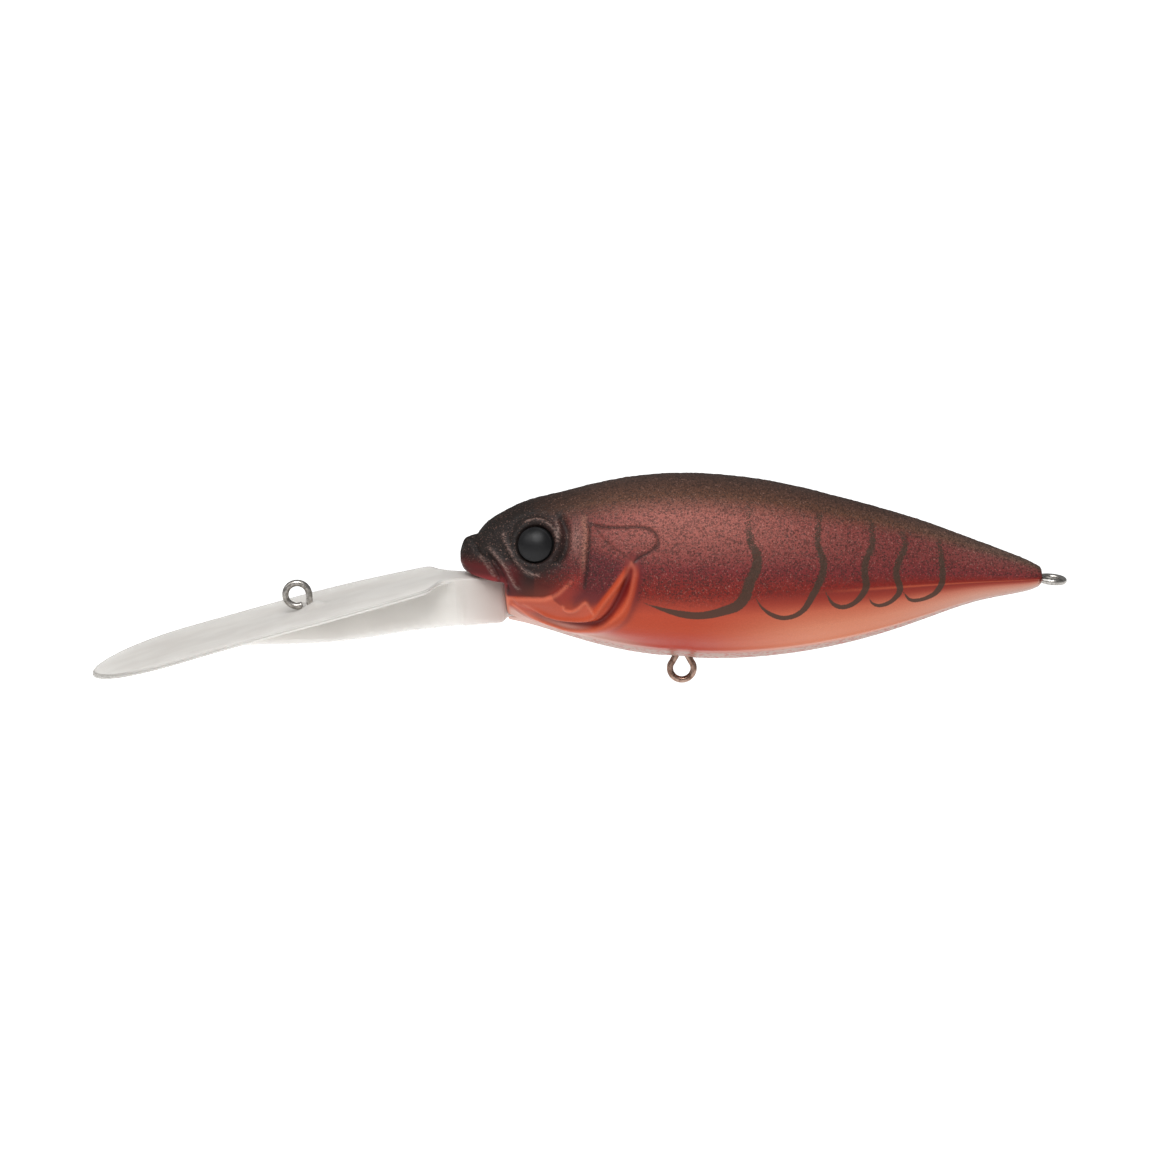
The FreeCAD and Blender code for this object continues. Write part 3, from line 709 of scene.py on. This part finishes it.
def paint_head(skin, paint):
    """Black round the eye, deep red above the mouth and on the cheek, orange jaw and gill crescents, with
    painted highlights on the ridges and painted shade in the grooves and recesses.
    """
    radius = skin.eye_radius
    reach = np.where(skin.x > 32, 2.2, 4.3)
    paint = tint(paint, smooth(3.2 + reach, 3.2, radius) * 0.85, BLACK)
    paint = tint(paint, smooth(30.0, 26.0, skin.x) * smooth(4.6, 7.4, skin.z) * 0.8, BLACK)
    mouth = smooth(31.5, 28.5, skin.x) * smooth(0.4, 1.2, skin.z)
    paint = tint(paint, mouth * smooth(6.2, 4.4, skin.z), MOUTH_RED)
    paint = tint(paint, mouth * smooth(3.9, 3.0, skin.z) * (skin.x < 28.3) * 0.6, LIP_RED)
    paint = tint(paint, skin.area(CHEEK_AREA, 0.8) * 0.75, CHEEK_RED)
    paint = tint(paint, skin.area(THROAT_AREA, 0.5) * 0.85, THROAT_PINK)
    paint = tint(paint, skin.area(JAW_GLOW, 0.9) * 0.6, JAW_GLOW_RED)
    paint = tint(paint, skin.area(JAW_AREA, 0.16) * 0.95, JAW_ORANGE)
    # Painted highlight below the jaw line and along the front edge of the jaw.
    lip_edge, along, side = skin.near(JAW_LINE, 3)
    glint = bell(lip_edge - 0.3, 0.25) * (side < 0) * smooth(1, 0.8, along)
    paint = tint(paint, glint * 0.35, ORANGE_HIGHLIGHT)
    paint = tint(paint, smooth(29.0, 28.3, skin.x) * smooth(1.0, 0.4, skin.z) * 0.8, ORANGE_HIGHLIGHT)

    crest, crest_along, side = skin.near(GILL_CREST, 4)
    outer = 0.75 + 0.6 * smooth(0.2, 0.42, crest_along) - 0.75 * smooth(0.5, 0.75, crest_along)
    slope = smooth(outer, outer - 0.4, crest) * (side > 0) + smooth(0.5, 0.2, crest) * (side <= 0)
    slope *= smooth(0, 0.08, crest_along)
    # Painted shade in the cheek's dark red beside the outer slope of the gill crest.
    shade = bell(crest - outer - 0.2, 0.45) * (side > 0) * smooth(0.55, 0.3, crest_along)
    paint = tint(paint, shade * 0.4, CHEEK_RED)
    strength = 0.4 + 0.5 * smooth(0.1, 0.4, crest_along)
    paint = tint(paint, slope * smooth(1.0, 0.75, crest_along) * strength, ORANGE)
    inner, along, _ = skin.near(GILL_INNER, 3)
    inner_slope = smooth(0.85, 0.4, inner) * smooth(1.0, 0.8, along) * smooth(0, 0.1, along)
    paint = tint(paint, inner_slope * 0.85, ORANGE)
    # Painted shade in the gill recess.
    recess, along, _ = skin.near(GILL_RECESS, 3)
    paint = tint(paint, smooth(0.75, 0.25, recess) * smooth(1.0, 0.6, along) * 0.9, RECESS_SHADE_RED)
    # Painted highlights along the gill crest and the inner ridge.
    lit = 0.2 + 0.4 * smooth(0.4, 0.6, crest_along)
    for distance, width, amount in ((crest, 0.26, lit), (inner, 0.22, 0.22)):
        paint = tint(paint, bell(distance, width) * amount, ORANGE_HIGHLIGHT)
    # Painted highlight along the cheek barb.
    barb, _, _ = skin.near(CHEEK_BARB, 3)
    paint = tint(paint, bell(barb, 0.22) * 0.4, ORANGE_HIGHLIGHT)

    # Painted shade along the grooves and stepped edges of the head.
    for outline, width, amount in ((FLAG_EDGE, 0.22, 0.75), (CHEEK_EDGE, 0.2, 0.7),
                                   (CHEEK_FURROW, 0.55, 0.85), (LIP_GROOVE, 0.4, 0.6),
                                   (JAW_FURROW, 0.35, 0.6), (FLAG_RIDGE, 0.18, 0.35)):
        distance, _, _ = skin.near(outline, 3)
        paint = tint(paint, bell(distance, width) * amount, BLACK)
    plate = bell(skin.x - 37.8, 0.9) * bell(skin.z - 9.2, 2.0)
    paint = tint(paint, plate * 0.5, PLATE_PINK)
    # Painted highlight beside the cheek edge.
    edge, along, side = skin.near(CHEEK_EDGE, 3)
    cheek_edge_highlight = bell(edge - 0.55, 0.35) * (side < 0) * smooth(0.9, 0.5, along)
    paint = tint(paint, cheek_edge_highlight * 0.5, EDGE_HIGHLIGHT_TAN)
    # Painted highlight along the raised lines of the head, broken up at random.
    highlight_breakup = RNG.random(skin.x.shape)
    for outline in (LIP_FOLD, UPPER_JAW, ORBIT_FRONT, BROW, ORBIT_TOP):
        distance, _, _ = skin.near(outline, 3)
        paint = tint(paint, bell(distance, 0.24) * 0.75 * smooth(0.1, 0.9, highlight_breakup), RIDGE_HIGHLIGHT)
    # Painted shade in the gap between the eye and its socket.
    return tint(paint, smooth(EYE_RADIUS + 0.26, EYE_RADIUS + 0.1, radius), SOCKET_SHADE_BLACK)


def bar_mask(skin):
    """Dark bars, widest in their lower half and fading out at their upper ends."""
    mask = np.zeros_like(skin.x)
    for outline, width in BARS:
        distance, share, _ = skin.near(outline, 3)
        thin, faint = (0.35, 0.62) if width > 1.2 else (0.05, 0.4)
        half = 0.5 * width * (1 - thin * smooth(0.45, 0.0, share)) * smooth(1.04, 0.75, share)
        half *= 1 - 0.28 * smooth(0.45, 0.75, share)
        inside = smooth(half + 0.25, half - 0.25, distance)
        mask = np.maximum(mask, inside * (1 - faint * smooth(0.35, 0.0, share)))
    return mask


def close_shell(grid):
    """Points and faces of the half shell: outer skin, hollow inner wall and the flat rim at the seam."""
    rows, columns = grid.shape[:2]
    x = grid[:, columns // 2, 0]
    first, last = [int(np.argmin(abs(x - limit))) for limit in CAVITY]
    picked = np.linspace(0, columns - 1, INNER_COLUMNS).astype(int)
    centre = np.zeros((rows, 1, 3))
    centre[:, 0, 0] = x
    centre[:, 0, 2] = np.interp(x, *zip(*AXIS_LINE))
    spoke = grid[:, picked] - centre
    length = np.linalg.norm(spoke, axis=-1, keepdims=True)
    inner = (centre + spoke * np.maximum(length - WALL, 0.3) / length)[first:last + 1]
    count, offset = last - first + 1, rows * columns
    points = np.vstack([grid.reshape(-1, 3), inner.reshape(-1, 3)])
    faces = grid_faces(rows, columns) + grid_faces(count, INNER_COLUMNS, offset, True)

    def outer(i, j):
        return i * columns + j % columns

    def within(i, j):
        return offset + (i - first) * INNER_COLUMNS + j % INNER_COLUMNS

    for i in range(rows - 1):
        if first <= i < last:
            faces.append((outer(i, 0), outer(i + 1, 0), within(i + 1, 0), within(i, 0)))
            faces.append((within(i, -1), within(i + 1, -1), outer(i + 1, -1), outer(i, -1)))
        elif i == first - 1:
            faces.append((outer(i, 0), outer(first, 0), within(first, 0), within(first, -1),
                          outer(first, -1), outer(i, -1)))
        elif i == last:
            faces.append((outer(last, 0), outer(i + 1, 0), outer(i + 1, -1), outer(last, -1),
                          within(last, -1), within(last, 0)))
        else:
            faces.append((outer(i, 0), outer(i + 1, 0), outer(i + 1, -1), outer(i, -1)))
    faces.append(tuple(outer(0, j) for j in range(columns)))
    faces.append(tuple(outer(rows - 1, j) for j in reversed(range(columns))))
    faces.append(tuple(within(first, j) for j in reversed(range(INNER_COLUMNS))))
    faces.append(tuple(within(last, j) for j in range(INNER_COLUMNS)))
    return points, faces


def round_ends(grid):
    """Rounds the nose and the tail over the last END_ROUNDING millimetres."""
    x = grid[..., 0]
    near_end = np.minimum(x - x.min(), x.max() - x)
    t = np.clip(1 - near_end / END_ROUNDING, 0, 1)
    shrink = 0.45 + 0.55 * np.sqrt(1 - t**2)
    middle = grid.mean(1, keepdims=True)
    middle[..., 1] = 0
    rounded = middle + (grid - middle) * shrink[..., None]
    rounded[..., 0] = x
    return rounded


def make_body(material):
    """Both painted half shells, the right one a mirror of the left with its own grain."""
    skin = Skin()
    carve_socket(skin)
    carve_head(skin)
    shape_nose(skin)
    carve_flank(skin)
    rough = rough_zone(skin)
    smooth_parts = np.zeros_like(rough)
    for outline, width in ((GILL_CREST, 1.2), (GILL_RECESS, 0.9), (GILL_INNER, 0.8), (CHEEK_BARB, 0.5)):
        distance, _, _ = skin.near(outline, 3)
        smooth_parts = np.maximum(smooth_parts, smooth(width, width * 0.6, distance))
    rough = rough * (1 - smooth_parts) * smooth(EYE_RADIUS + 0.1, EYE_RADIUS + 0.5, skin.eye_radius)
    paint = paint_head(skin, airbrush(skin))
    # Painted highlight along the crease towards the tail.
    crease = bell(skin.level + 0.03, 0.022) * smooth(66, 84, skin.x)
    paint = tint(paint, crease * 0.5, CREASE_HIGHLIGHT)
    keel = smooth(-0.85, -0.90, skin.level) * smooth(30, 36, skin.x)
    paint = tint(paint, keel * 0.7, KEEL_COLOUR)
    finish = np.stack([rough, bar_mask(skin), keel], -1)
    for name, side in (("left_shell", -1), ("right_shell", 1)):
        grain = blurred(RNG.standard_normal(rough.shape), 0.8)
        grain = GRAIN * rough * (grain / grain.std() - 2.2)
        grid = skin.points + skin.normals * (skin.height + grain)[..., None]
        grid[:, [0, -1], 1] = 0
        grid = round_ends(grid)
        grid[..., 1] = np.minimum(grid[..., 1], 0)
        points, faces = close_shell(grid)
        points = points * [1, -side, 1]
        if side > 0:
            faces = [face[::-1] for face in faces]
        piece = make_piece("painted_" + name, points, faces, material, name)
        bare = np.zeros((len(points) - rough.size, 3))
        add_colours(piece, "Paint", np.vstack([paint.reshape(-1, 3), bare + linear(INNER_WHITE)]))
        add_colours(piece, "Finish", np.vstack([finish.reshape(-1, 3), bare]))


# ---- diving lip -------------------------------------------------------------------------------------
def lip_outline(stations):
    """Top height, half width and underside of the CAD lip at each station, clear of the wire's hole."""
    tree = cad_tree("diving_lip")
    top, half, under = [], [], []
    for x in stations:
        aside = min(1.2, 0.1 + 0.2 * (x - stations[0]))
        top.append(tree.ray_cast(Vector((x, aside, 30)), Vector((0, 0, -1)))[0].z)
        half.append(tree.ray_cast(Vector((x, 30, top[-1] - 0.4)), Vector((0, -1, 0)))[0].y)
        under.append(tree.ray_cast(Vector((x, 0.02, -30)), Vector((0, 0, 1)))[0].z)
    return np.array(top), np.array(half), np.array(under)


def lip_stations():
    """Stations along the lip, packed closely at the round tip."""
    low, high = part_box("diving_lip")
    start, end = low[0] / MM, high[0] / MM
    tip = start + TIP_LENGTH * (1 - np.cos(np.linspace(0.03, math.pi / 2, TIP_ROWS)))
    return np.concatenate([tip, np.linspace(tip[-1], end - END_GAP, LIP_ROWS - TIP_ROWS + 1)[1:]])


def make_lip(material):
    """Blade with a thin rounded rim, a web underneath, and the thick neck that enters the mouth."""
    x = lip_stations()
    top, half, under = lip_outline(x)
    for values in (top, half, under):
        values[:] = blurred(values[:, None], 1.5)[:, 0]
    slope = np.abs(np.gradient(half, x))
    neck = smooth(2.9, 2.52, half) * (x > 0)
    fraction = np.concatenate([np.linspace(0, 1, MIDDLE_COLUMNS, endpoint=False) * 0.5,
                               1 - 0.5 * np.cos(np.linspace(0, math.pi / 2, RIM_COLUMNS))])
    inner_half = np.minimum(2.4, 0.7 * half)
    y = np.where(fraction[None] < 0.5, 2 * fraction[None] * inner_half[:, None],
                 inner_half[:, None] + (2 * fraction[None] - 1) * (half - inner_half)[:, None])
    inset = (half[:, None] - y) / np.sqrt(1 + slope[:, None] ** 2)
    rim = LIP_EDGE / 2
    roll = rim - np.sqrt(np.clip(rim**2 - (rim - np.minimum(inset, rim)) ** 2, 0, None))
    thickness = LIP_EDGE + (LIP_MIDDLE - LIP_EDGE) * smooth(0, 6.5, inset)
    web_half = np.interp(x, *zip(*WEB_HALF))[:, None]
    draft = np.clip((y - web_half + 0.1) / np.maximum(half[:, None] - web_half, 0.1), 0, 1) ** 1.6
    draft *= smooth(0.0, 0.6, half[:, None] - web_half)
    thickness = mix(thickness, mix((top - under)[:, None], NECK_EDGE, draft), neck[:, None])
    boss = bell(x[:, None] - BOSS_X, BOSS_SPREAD[0]) * bell(y, BOSS_SPREAD[1])
    upper = top[:, None] - roll + BOSS_HEIGHT * boss
    lower = top[:, None] - thickness + roll
    web_share = smooth(web_half + 0.3, web_half - 0.1, y) * smooth(WEB_START, WEB_START + 5, x)[:, None]
    web_bottom = under[:, None] + 0.35 * (y / web_half) ** 4
    lower = np.minimum(lower, mix(lower, web_bottom, web_share))
    columns = 2 * len(fraction) - 1
    across = np.concatenate([-y[:, :0:-1], y], 1)

    def sheet(height):
        full = np.concatenate([height[:, :0:-1], height], 1)
        return np.stack([np.broadcast_to(x[:, None], full.shape), across, full], -1)

    rows = len(x)
    points = np.vstack([sheet(upper).reshape(-1, 3), sheet(lower).reshape(-1, 3)])
    faces = grid_faces(rows, columns) + grid_faces(rows, columns, rows * columns, True)
    for i in range(rows - 1):
        for j in (0, columns - 1):
            a, b = i * columns + j, (i + 1) * columns + j
            quad = (a, b, b + rows * columns, a + rows * columns)
            faces.append(quad if j == 0 else quad[::-1])
    for i in (0, rows - 1):
        loop = [i * columns + j for j in range(columns)]
        ring = loop + [rows * columns + k for k in reversed(loop)]
        faces.append(tuple(ring) if i else tuple(reversed(ring)))
    piece = make_piece("frosted_lip", points, faces, material, "diving_lip")
    # Masks for painted shade along the blade's rim, painted reflection near the root and painted light on
    # the web.
    blade = smooth(3.2, 5.0, half) * (0.65 + 0.35 * smooth(-8, -16, x))
    blade[x < -16] = 1
    edge = sheet(smooth(0.6, 0.2, inset) * blade[:, None])[..., 2].ravel()
    root = sheet(np.broadcast_to(smooth(20, 29, x)[:, None], inset.shape))[..., 2].ravel()
    web = sheet(web_share)[..., 2].ravel()
    layers = np.tile(np.stack([edge, root, web], 1), (2, 1))
    layers[:len(web), 2] = 0
    add_colours(piece, "Edge", layers)
    return piece


# ---- wires and eyes ---------------------------------------------------------------------------------
def tube(name, route, radius, material, replaced, sides=28):
    """Round wire swept along a smooth route, with slightly rounded cut ends."""
    line = spread(route, 0.1)
    tangent = np.gradient(line, axis=0)
    tangent /= np.linalg.norm(tangent, axis=1, keepdims=True)
    side = np.cross(tangent[0], [0.3, 1, 0.2])
    rings = []
    ends = np.minimum(np.arange(len(line)), np.arange(len(line))[::-1])
    for place, heading, step in zip(line, tangent, ends):
        side = side - heading * (side @ heading)
        side /= np.linalg.norm(side)
        up = np.cross(heading, side)
        size = radius * (0.8 if step == 0 else 1.0)
        turn = np.linspace(0, 2 * math.pi, sides, endpoint=False)[:, None]
        rings.append(place + size * (np.cos(turn) * side + np.sin(turn) * up))
    points = np.vstack(rings)
    faces = []
    for i in range(len(rings) - 1):
        for j in range(sides):
            k = (j + 1) % sides
            faces.append((i * sides + j, i * sides + k, (i + 1) * sides + k, (i + 1) * sides + j))
    faces.append(tuple(reversed(range(sides))))
    faces.append(tuple(range((len(rings) - 1) * sides, len(rings) * sides)))
    return make_piece(name, points, faces, material, replaced)


def arc(centre, radius, start, end):
    """Points round a circle in the XZ plane, angles in degrees from +X towards +Z."""
    turns = np.radians(np.linspace(start, end, max(3, int(abs(end - start) / ARC_STEP))))
    return [(centre[0] + radius * math.cos(a), 0.0, centre[1] + radius * math.sin(a)) for a in turns]


def mount(name):
    found = next(m for m in frame["record"]["mounts"] if m["name"] == name)
    return np.array(found["pos_m"]) / MM


def make_wires(steel, bronze):
    """Line tie with its buried anchor loop, belly hanger with two legs, and the flat tail ring."""
    tie = mount("line_tie")
    anchor = arc(LINE_TIE_ANCHOR, LINE_TIE_ANCHOR_RADIUS, 440, 172)
    shank = [(2.75, 0, -3.5), (1.85, 0, -1.7), (1.64, 0, -0.7)]
    ring = arc((tie[0], tie[2]), RING, 4, 296)
    tube("wire_line_tie", anchor + shank + ring, WIRE, steel, "line_tie")
    belly = mount("belly_hanger")
    x, z = belly[0], belly[2]
    ring = arc((x, z), RING, 138, 402)
    tube("wire_belly_hanger", [(x - 0.55, 0, z + 4.6), (x - 0.6, 0, z + 2.4)] + ring
         + [(x + 0.6, 0, z + 2.4), (x + 0.55, 0, z + 4.6)], WIRE, bronze, "belly_hanger")
    tail = mount("tail_hanger")
    tilt = math.radians(TAIL_TILT)
    flat = [(a, b) for a, _, b in arc((0, 0), RING, 160, -160)]
    ring = [(tail[0] + a * math.cos(tilt), b, tail[2] - a * math.sin(tilt)) for a, b in flat]
    start, end = ring[0], ring[-1]
    lead = [(start[0] - 3.5, 0.5, start[2] + 0.2), (start[0] - 1.0, 0.5, start[2] + 0.06)]
    trail = [(end[0] - 1.0, -0.5, end[2] + 0.06), (end[0] - 3.5, -0.5, end[2] + 0.2)]
    tube("wire_tail_hanger", lead + ring + trail, WIRE, steel, "tail_hanger")


def make_eyes(material):
    """Domed eyes with a rolled edge, set in the two sockets."""
    sphere = (EYE_RADIUS**2 + EYE_DOME**2) / (2 * EYE_DOME)
    reach = np.linspace(0, 0.93, 22) * EYE_RADIUS
    dome = [(r, EYE_DOME - sphere + math.sqrt(sphere**2 - r**2)) for r in reach]
    edge = EYE_RADIUS
    roll = [(edge - 0.07, 0.12), (edge - 0.02, 0.02), (edge, -0.1), (edge, -0.72)]
    profile = dome + roll
    centre = np.array(eye_centre())
    axis = np.array(EYE_AXIS)
    side = np.cross(axis, [0, 0, 1])
    side /= np.linalg.norm(side)
    up = np.cross(axis, side)
    turns = np.linspace(0, 2 * math.pi, 72, endpoint=False)
    points = [centre + axis * profile[0][1]]
    for radius, lift in profile[1:]:
        points += [centre + axis * lift + radius * (math.cos(a) * side + math.sin(a) * up) for a in turns]
    count = len(turns)
    faces = [(0, 1 + j, 1 + (j + 1) % count) for j in range(count)]
    for i in range(len(profile) - 2):
        for j in range(count):
            k = (j + 1) % count
            a = 1 + i * count
            faces.append((a + j, a + count + j, a + count + k, a + k))
    faces.append(tuple(1 + (len(profile) - 2) * count + j for j in reversed(range(count))))
    for name, sign in (("left_eye", 1), ("right_eye", -1)):
        turned = faces if sign > 0 else [face[::-1] for face in faces]
        make_piece("domed_" + name, np.array(points) * [1, sign, 1], turned, material, name)


def dress_inner_pieces():
    """Materials of the CAD pieces inside the body."""
    ballast = inner_material("ballast", "8b8b8e", "6a6a6e", 1.0, 0.4)
    nickel = inner_material("magnet", "c9c6c0", "b2afa9", 1.0, 0.2)
    tungsten = inner_material("tungsten", "77777b", "606065", 1.0, 0.22)
    rattle = inner_material("rattle_steel", "c8c8c8", "b4b4b6", 1.0, 0.12)
    pad = inner_material("adhesive_pad", "c4c0b4", "b0ab9e", 0.0, 0.7)
    wanted = {"keel_weight": ballast, "holding_magnet": nickel, "transfer_ball": tungsten,
              "rattle_ball": rattle, "left_eye_pad": pad, "right_eye_pad": pad}
    for name, node in frame["nodes"].items():
        for start, material in wanted.items():
            if name.startswith(start):
                node.data.materials.clear()
                node.data.materials.append(material)


# ---- stage ------------------------------------------------------------------------------------------
FLOOR_Z = -0.28
FLOOR_REACH = 9.0
FLOOR_GREY = (0.93, 0.93, 0.925, 1)
GLOW_STRETCH = (0.0, 0.55)      # the paper brightens over this stretch of Y, so it stays pale to the rear
GLOW = (0.42, 0.85)
WORLD_LIGHT = 0.25
WHITE = (1, 1, 1, 1)
LIGHT_AIM = Vector((0.0375, 0, 0.003))
KEY_PLACE = Vector((-0.10, -0.90, 1.15))
FILL_PLACE = Vector((-0.9, -0.5, 0.9))
CAMERA_AIM = Vector((0.03753, 0, 0.0027))
CAMERA_ELEVATION = math.radians(12.5)
VIEW_WIDTH = 155.25 * MM
LENS = 180
SENSOR = 36


def make_stage():
    """Pale floor well below the lure, and soft lights."""
    reach = FLOOR_REACH
    mesh = bpy.data.meshes.new("floor")
    mesh.from_pydata([(-reach, -reach, FLOOR_Z), (reach, -reach, FLOOR_Z), (reach, reach, FLOOR_Z),
                      (-reach, reach, FLOOR_Z)], [], [(0, 1, 2, 3)])
    floor = bpy.data.objects.new("floor", mesh)
    bpy.context.collection.objects.link(floor)
    paper = bpy.data.materials.new("pale_floor")
    paper.use_nodes = True
    shader = paper.node_tree.nodes["Principled BSDF"]
    shader.inputs["Base Color"].default_value = FLOOR_GREY
    shader.inputs["Roughness"].default_value = 0.9
    shader.inputs["Emission Color"].default_value = WHITE
    place = paper.node_tree.nodes.new("ShaderNodeTexCoord")
    split = paper.node_tree.nodes.new("ShaderNodeSeparateXYZ")
    glow = paper.node_tree.nodes.new("ShaderNodeMapRange")
    glow.interpolation_type = "SMOOTHSTEP"
    for socket, number in zip(RANGE_SOCKETS, GLOW_STRETCH + GLOW):
        glow.inputs[socket].default_value = number
    paper.node_tree.links.new(place.outputs["Object"], split.inputs[0])
    paper.node_tree.links.new(split.outputs["Y"], glow.inputs["Value"])
    paper.node_tree.links.new(glow.outputs["Result"], shader.inputs["Emission Strength"])
    shader.inputs["Specular IOR Level"].default_value = 0.0
    mesh.materials.append(paper)

    world = bpy.data.worlds.new("studio")
    world.use_nodes = True
    world.node_tree.nodes["Background"].inputs["Color"].default_value = WHITE
    world.node_tree.nodes["Background"].inputs["Strength"].default_value = WORLD_LIGHT
    bpy.context.scene.world = world
    add_light("key", KEY_PLACE, 0.9, 21)
    add_light("top_left", FILL_PLACE, 0.8, 5)


def add_light(name, place, size, power):
    data = bpy.data.lights.new(name, "AREA")
    data.shape = "SQUARE"
    data.size = size
    data.energy = power
    light = bpy.data.objects.new(name, data)
    light.location = place
    light.rotation_euler = (LIGHT_AIM - place).to_track_quat("-Z", "Y").to_euler()
    bpy.context.collection.objects.link(light)


def make_camera():
    """Long lens from the left side, a little above the horizon."""
    data = bpy.data.cameras.new("camera")
    data.lens = LENS
    data.sensor_width = SENSOR
    data.clip_end = 50
    towards = Vector((0, -math.cos(CAMERA_ELEVATION), math.sin(CAMERA_ELEVATION)))
    camera = bpy.data.objects.new("camera", data)
    camera.location = CAMERA_AIM + towards * (VIEW_WIDTH * LENS / SENSOR)
    camera.rotation_euler = (CAMERA_AIM - camera.location).to_track_quat("-Z", "Y").to_euler()
    bpy.context.collection.objects.link(camera)
    bpy.context.scene.camera = camera
    bpy.context.scene.view_settings.view_transform = "Standard"


make_stage()
make_camera()
make_body(painted_material())
make_lip(lip_material())
make_wires(wire_material("steel_wire", "b9b5b0", "85817c"),
           wire_material("bronzed_wire", "a88c7e", "6e5448"))
make_eyes(eye_material())
dress_inner_pieces()
